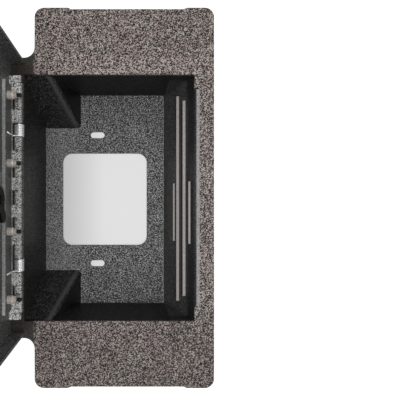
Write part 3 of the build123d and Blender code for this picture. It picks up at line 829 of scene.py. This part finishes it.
@dataclass
class WeldedBox:
    """Fixed box: tray, walls, gussets, strike and the wide top plate."""

    finishes: Finishes
    saddle_front_cut: float = 16.5 * MM
    slot_end_reach: float = 0.5 * MM

    def build_saddle(self) -> None:
        """Makes the saddle as short as the photograph shows, and the wall's slots to match."""
        low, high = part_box("strike_saddle")
        middle_y = (low.y + high.y) / 2
        shift = Vector((0.0, self.saddle_front_cut, 0.0))
        saddle = copied_piece(
            "short_strike_saddle", "strike_saddle", lambda corner: corner.y < middle_y, shift
        )
        finish_piece(saddle, self.finishes.coat(STRIKE_COAT))
        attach(saddle, Body.BOX.value)
        reach = self.slot_end_reach

        def ends_slot(corner: Vector) -> bool:
            """Whether a corner of the wall is at the front end of one of the saddle's slots."""
            beside = low.z - reach < corner.z < high.z + reach
            return beside and abs(corner.y - low.y) < reach

        wall = copied_piece("slotted_latch_wall", "latch_side_wall", ends_slot, shift)
        finish_piece(wall, self.finishes.coat(LATCH_WALL_COAT))
        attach(wall, Body.BOX.value)

    def build(self) -> None:
        """Dresses the box's pieces, and makes the saddle."""
        dress(self.finishes.coat(PLATE_COAT), "top_plate")
        dress(self.finishes.coat(FLOOR_COAT), "floor_tray")
        dress(self.finishes.coat(WALL_COAT), "hinge_side_wall")
        dress(self.finishes.coat(GUSSET_COAT), "rear_gusset", "front_gusset")
        dress(self.finishes.coat(STRIKE_COAT), "strike_channel")
        self.build_saddle()


@dataclass
class SprungHinge:
    """Hinge with rolled knuckles and two torsion springs on its pin."""

    finishes: Finishes
    axis_x: float = -69.4 * MM
    axis_z: float = 74.86 * MM
    knuckle_pitch: float = 12.7 * MM
    spring_places: dict[str, int] = field(default_factory=lambda: {"rear": 5, "front": 15})
    middle_place: int = 10
    wire_radius: float = 0.7 * MM
    coil_radius: float = 3.95 * MM
    coil_reach: float = 5.45 * MM
    coil_turns: float = 7.5
    body_leg: float = 13.0 * MM
    lid_leg_x: float = -4.99 * MM
    lid_leg_end: float = 21.1 * MM
    lid_leg_bend: float = 2.0 * MM
    wire_sides: int = 14
    turn_steps: int = 28
    bend_steps: int = 8
    blend_margin: float = 0.9 * MM

    def wire_path(self, middle: Vector) -> list[Vector]:
        """Middle line of one spring's wire.

        Args:
            middle: Middle of the coil, on the hinge axis.

        Returns:
            Points from the end of the body leg to the end of the lid leg.
        """
        reach, radius = self.coil_reach, self.coil_radius
        path = [Vector((-self.body_leg, reach, -radius))]
        steps = round(self.coil_turns * self.turn_steps)
        for step in range(steps + 1):
            share = step / steps
            angle = 2 * pi * self.coil_turns * share - pi / 2
            path.append(Vector((
                radius * cos(angle), reach - 2 * reach * share, radius * sin(angle),
            )))
        bend = self.lid_leg_bend
        for step in range(self.bend_steps + 1):
            angle = pi / 2 * step / self.bend_steps
            path.append(Vector((
                self.lid_leg_x + bend - bend * sin(angle),
                -reach,
                radius + bend - bend * cos(angle),
            )))
        path.append(Vector((self.lid_leg_x, -reach, self.lid_leg_end)))
        return [middle + point for point in path]

    def build_spring(self, label: str, place: int) -> None:
        """Makes one spring, coiled round the hinge axis.

        Args:
            label: Which spring it is.
            place: Its knuckle place, counted from the +Y end.
        """
        across = (self.middle_place - place) * self.knuckle_pitch
        middle = Vector((self.axis_x, across, self.axis_z))
        spring = tube_piece(
            f"torsion_spring_{label}", self.wire_path(middle), self.wire_radius, self.wire_sides
        )
        finish_piece(spring, self.finishes.metal(SPRING_STEEL))
        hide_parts(f"hinge_spring_{label}")
        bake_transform(spring)

    def build(self) -> None:
        """Dresses both leaves and the pin, and makes the springs."""
        dress(self.finishes.coat(HINGE_COAT), "body_hinge_leaf")
        dress(self.finishes.coat(LEAF_COAT), "lid_hinge_leaf")
        dress(self.finishes.metal(ZINC), "hinge_pin")
        for label, place in self.spring_places.items():
            self.build_spring(label, place)


@dataclass
class Lid:
    """Lid pan with the threaded studs and lock nuts that hold the hinge leaf."""

    finishes: Finishes
    inner_face_x: float = -77.8 * MM
    stud_z: float = 91.06 * MM
    stud_ys: tuple[float, ...] = (-92.3 * MM, -30.77 * MM, 30.77 * MM, 92.3 * MM)
    stud_radius: float = 2.0 * MM
    stud_end_x: float = -62.84 * MM
    thread_start_x: float = -70.0 * MM
    thread_pitch: float = 0.7 * MM
    thread_depth: float = 0.38 * MM
    thread_sides: int = 24
    rings_per_turn: int = 6
    end_chamfer: float = 0.6 * MM
    insert_x: float = -67.14 * MM
    insert_outer: float = 2.55 * MM
    insert_stand: float = 0.25 * MM

    def radius_at(self, x: float, angle: float) -> float:
        """Radius of a stud's cut thread, with the chamfer at its end.

        Args:
            x: Place along the stud.
            angle: Angle round the stud.

        Returns:
            The radius in metres.
        """
        phase = ((x - self.thread_start_x) / self.thread_pitch - angle / (2 * pi)) % 1.0
        groove = abs(2 * phase - 1)
        radius = self.stud_radius - self.thread_depth * groove
        to_end = self.stud_end_x - x
        if to_end < self.end_chamfer:
            radius = min(radius, self.stud_radius - self.end_chamfer + to_end)
        return radius

    def build_stud(self, first: int, y: float) -> tuple[list[Vector], list[list[int]]]:
        """Points and faces of one stud: a plain shank, then a cut thread.

        Args:
            first: Number of the stud's first corner.
            y: Its place along the hinge.

        Returns:
            Its points and its faces.
        """
        points = []
        plain = (self.inner_face_x, self.thread_start_x)
        for x in plain:
            centre = (x, y, self.stud_z)
            points += ring_points(centre, self.thread_sides, lambda angle: self.stud_radius)
        length = self.stud_end_x - self.thread_start_x
        rings = round(length / self.thread_pitch * self.rings_per_turn)
        for ring in range(rings):
            x = self.thread_start_x + length * (ring + 1) / rings
            centre = (x, y, self.stud_z)
            points += ring_points(centre, self.thread_sides, partial(self.radius_at, x))
        return points, ring_faces(len(plain) + rings, self.thread_sides, first)

    def build_studs(self) -> None:
        """Makes the four threaded studs as one piece."""
        points: list[Vector] = []
        faces: list[list[int]] = []
        for y in self.stud_ys:
            more_points, more_faces = self.build_stud(len(points), y)
            points += more_points
            faces += more_faces
        studs = mesh_piece("threaded_studs", points, faces, smooth=False)
        finish_piece(studs, self.finishes.metal(THREAD_STEEL))
        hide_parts("lid_studs")
        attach(studs, Body.LID.value)

    def build_inserts(self) -> None:
        """Makes the nylon rings that stand at the mouths of the lock nuts."""
        points: list[Vector] = []
        faces: list[list[int]] = []
        sides, stand = self.thread_sides, self.insert_stand
        profile = (
            (0.0, self.stud_radius), (0.0, self.insert_outer),
            (stand, self.insert_outer - stand), (stand, self.stud_radius),
        )
        for y in self.stud_ys:
            first = len(points)
            for along, radius in profile:
                centre = (self.insert_x + along, y, self.stud_z)
                points += ring_points(centre, sides, lambda angle: radius)
            for ring in range(len(profile)):
                low = first + ring * sides
                high = first + (ring + 1) % len(profile) * sides
                faces += band_faces(low, high, sides)
        inserts = mesh_piece("nut_inserts", points, faces)
        finish_piece(inserts, self.finishes.metal(NYLON))
        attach(inserts, Body.LID.value)

    def build(self) -> None:
        """Dresses the pan and nuts, and makes the studs and inserts."""
        dress(self.finishes.coat(LID_COAT), "lid_pan")
        dress(self.finishes.metal(NUT_ZINC), "lid_lock_nuts")
        self.build_studs()
        self.build_inserts()


@dataclass
class SocketScrews:
    """Button-head screws with hexagon sockets, facing the inside of the lid."""

    material: bpy.types.Material
    node: str
    head_height: float
    head_radius: float
    shank_radius: float = 1.5 * MM
    socket_half_width: float = 1.0 * MM
    socket_depth: float = 1.0 * MM
    mouth_chamfer: float = 0.12 * MM
    mouth_share: float = 1.3
    crown_share: float = 0.6
    rim_share: float = 0.35
    sides: int = 36
    dome_steps: int = 6

    def hexagon_radius(self, angle: float) -> float:
        """Distance from the screw's middle to the socket's wall, at an angle."""
        turned = (angle + pi / 6) % (pi / 3) - pi / 6
        return self.socket_half_width / cos(turned)

    def rings(self, start: float, end: float) -> list[tuple[float, float, float]]:
        """Outline of a screw: places along it, each with a radius and a share of the hexagon.

        Args:
            start: Where the shank ends, inside the post or the spindle.
            end: The crown of the head.

        Returns:
            Rows of place, round radius and share of the hexagon.
        """
        seat = end - self.head_height
        rows = [(start, self.shank_radius, 0.0), (seat, self.shank_radius, 0.0)]
        crown_radius = self.head_radius * self.crown_share
        for step in range(self.dome_steps + 1):
            angle = pi / 2 * step / self.dome_steps
            radius = crown_radius + (self.head_radius - crown_radius) * cos(angle)
            risen = self.rim_share + (1 - self.rim_share) * sin(angle) if step else 0.0
            rows.append((seat + self.head_height * risen, radius, 0.0))
        rows.append((end, self.socket_half_width * self.mouth_share, 0.0))
        rows.append((end - self.mouth_chamfer, 0.0, 1.0))
        rows.append((end - self.socket_depth, 0.0, 1.0))
        return rows

    def reach(self, radius: float, hexagon: float, angle: float) -> float:
        """Distance from the screw's middle on a ring that is part round, part hexagonal.

        Args:
            radius: Radius of the ring's round share.
            hexagon: The ring's hexagonal share, from 0 to 1.
            angle: Angle round the screw.

        Returns:
            The distance in metres.
        """
        return radius * (1 - hexagon) + self.hexagon_radius(angle) * hexagon

    def build(self, name: str, across: Sequence[float]) -> None:
        """Makes one screw at each place along the hinge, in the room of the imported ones.

        Args:
            name: Name of the new piece.
            across: Places along Y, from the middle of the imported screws.
        """
        low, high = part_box(self.node)
        middle_y = (low.y + high.y) / 2
        middle_z = (low.z + high.z) / 2
        rows = self.rings(low.x, high.x)
        points: list[Vector] = []
        faces: list[list[int]] = []
        for place in across:
            faces += ring_faces(len(rows), self.sides, len(points))
            for x, radius, hexagon in rows:
                centre = (x, middle_y + place, middle_z)
                points += ring_points(centre, self.sides, partial(self.reach, radius, hexagon))
        screws = mesh_piece(name, points, faces, smooth=False)
        finish_piece(screws, self.material)
        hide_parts(self.node)
        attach(screws, Body.LID.value)


@dataclass
class Lock:
    """Lock body through the lid, with its knob, key plug and crank."""

    finishes: Finishes

    def build(self) -> None:
        """Dresses the lock's pieces."""
        dress(self.finishes.metal(LOCK_ENAMEL), "lock_body", "escutcheon", "knob")
        dress(self.finishes.metal(ZINC), "lock_nut")
        dress(self.finishes.metal(KEY_BRASS), "key_plug")
        dress(self.finishes.metal(BLACK_OXIDE), "spindle", "crank")
        screw = SocketScrews(
            self.finishes.metal(BLACK_OXIDE), "crank_screw",
            head_height=1.6 * MM, head_radius=3.5 * MM,
        )
        screw.build("crank_socket_screw", (0.0,))


@dataclass
class BoltWork:
    """Bolt and the posts, washers and screws it slides on."""

    finishes: Finishes
    post_pair_spacing: float = 45.0 * MM

    def build(self) -> None:
        """Dresses the bolt and its guides."""
        dress(self.finishes.coat(BOLT_COAT), "bolt")
        dress(self.finishes.metal(ZINC), "guide_posts", "guide_washers")
        screws = SocketScrews(
            self.finishes.metal(ZINC), "guide_screws",
            head_height=1.8 * MM, head_radius=3.0 * MM,
        )
        low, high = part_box("guide_screws")
        outer = (high.y - low.y) / 2 - screws.head_radius
        inner = outer - self.post_pair_spacing
        screws.build("guide_socket_screws", (-outer, -inner, inner, outer))


@dataclass
class Studio:
    """Pale floor, soft light and the camera straight above the open box."""

    strip: bpy.types.NodeTree
    plate_top: float = 70.16 * MM
    camera_x: float = 27.9 * MM
    camera_y: float = -7.8 * MM
    camera_height: float = 350.0 * MM
    image_size: float = 400.0
    focal_pixels: float = 364.6
    axis_pixel: tuple[float, float] = (122.0, 206.0)
    sensor: float = 36.0
    floor_size: float = 6.0
    floor_colour: Colour = grey(0.84)
    floor_roughness: float = 0.9
    glow_colour: Colour = (1.0, 0.99, 0.99)
    floor_glow: float = 0.4
    far_glow: float = 0.9
    far_start: float = 0.45
    far_end: float = 1.3
    footprint_x: tuple[float, float] = (-72.0 * MM, 105.0 * MM)
    footprint_y: tuple[float, float] = (-125.0 * MM, 125.0 * MM)
    footprint_soft: float = 8.0 * MM
    floor_gap: float = 0.2 * MM
    lamp_size: float = 0.45
    lamp_height: float = 1.0
    lamp_power: float = 8.0
    world_level: float = 0.22

    def build_camera(self) -> None:
        """Makes the camera, with the shift that the off-centre view needs."""
        data = bpy.data.cameras.new("camera")
        data.sensor_width = self.sensor
        data.lens = self.sensor * self.focal_pixels / self.image_size
        half = self.image_size / 2
        data.shift_x = (half - self.axis_pixel[0]) / self.image_size
        data.shift_y = (self.axis_pixel[1] - half) / self.image_size
        camera = bpy.data.objects.new("camera", data)
        camera.location = (self.camera_x, self.camera_y, self.plate_top + self.camera_height)
        bpy.context.scene.collection.objects.link(camera)
        bpy.context.scene.camera = camera

    def seen_mask(self, nodes: Nodes) -> bpy.types.NodeSocket:
        """Adds a mask of the rays that show the studio itself, and don't light the safe.

        Args:
            nodes: Nodes of the floor or the world.

        Returns:
            The socket with the mask.
        """
        rays = nodes.add("ShaderNodeLightPath").outputs
        seen = nodes.sum("MAXIMUM", rays["Is Camera Ray"], rays["Is Glossy Ray"])
        return nodes.sum("MAXIMUM", seen, rays["Is Transmission Ray"])

    def build_floor(self) -> None:
        """Makes the floor, which the camera sees brighter than it lights the safe."""
        half = self.floor_size / 2
        corners = [
            Vector((x * half, y * half, -self.floor_gap))
            for x, y in ((-1, -1), (1, -1), (1, 1), (-1, 1))
        ]
        floor = mesh_piece("studio_floor", corners, [[0, 1, 2, 3]], smooth=False)
        nodes, shader, material = new_material("studio_floor")
        shader.inputs["Base Color"].default_value = opaque(self.floor_colour)
        shader.inputs["Roughness"].default_value = self.floor_roughness
        distance = nodes.add("ShaderNodeVectorMath", operation="LENGTH")
        nodes.join(nodes.add("ShaderNodeTexCoord").outputs["Object"], distance.inputs[0])
        far = nodes.spread(distance.outputs["Value"], self.far_start, self.far_end)
        more = nodes.sum("MULTIPLY", far, self.far_glow - self.floor_glow)
        level = nodes.sum("ADD", more, self.floor_glow)
        glow = nodes.sum("MULTIPLY", self.seen_mask(nodes), level)
        # Under the safe the glow is left out, so the floor seen through its holes shows the
        # shade it lies in.
        across = Band(ALONG_X, *self.footprint_x, soft=self.footprint_soft)
        along = Band(ALONG_Y, *self.footprint_y, soft=self.footprint_soft)
        under = nodes.sum(
            "MULTIPLY", across.mask(nodes, self.strip), along.mask(nodes, self.strip)
        )
        open_share = nodes.sum("SUBTRACT", 1.0, under)
        nodes.join(nodes.sum("MULTIPLY", glow, open_share), shader.inputs["Emission Strength"])
        shader.inputs["Emission Color"].default_value = opaque(self.glow_colour)
        floor.data.materials.append(material)

    def build_light(self) -> None:
        """Makes the overhead lamp and the plain world light."""
        data = bpy.data.lights.new("softbox", "AREA")
        data.shape = "SQUARE"
        data.size = self.lamp_size
        data.energy = self.lamp_power
        lamp = bpy.data.objects.new("softbox", data)
        lamp.location = (self.camera_x, self.camera_y, self.lamp_height)
        bpy.context.scene.collection.objects.link(lamp)
        world = bpy.data.worlds.new("studio")
        world.use_nodes = True
        background = world.node_tree.nodes["Background"]
        background.inputs["Color"].default_value = opaque(grey(1.0))
        nodes = Nodes(world.node_tree)
        strength = nodes.sum("MAXIMUM", self.seen_mask(nodes), self.world_level)
        nodes.join(strength, background.inputs["Strength"])
        bpy.context.scene.world = world

    def build(self) -> None:
        """Makes the camera, floor and lights."""
        self.build_camera()
        self.build_floor()
        self.build_light()
        bpy.context.scene.view_settings.view_transform = "Standard"


def main() -> None:
    """Builds the studio and every sub-assembly."""
    logging.basicConfig(level=logging.INFO, format="%(name)s: %(message)s")
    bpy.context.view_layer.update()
    finishes = Finishes()
    Studio(finishes.strip).build()
    for assembly in (WeldedBox, SprungHinge, Lid, Lock, BoltWork):
        assembly(finishes).build()
        log.info("finished %s", assembly.__name__)


if __name__ == "__main__":
    main()
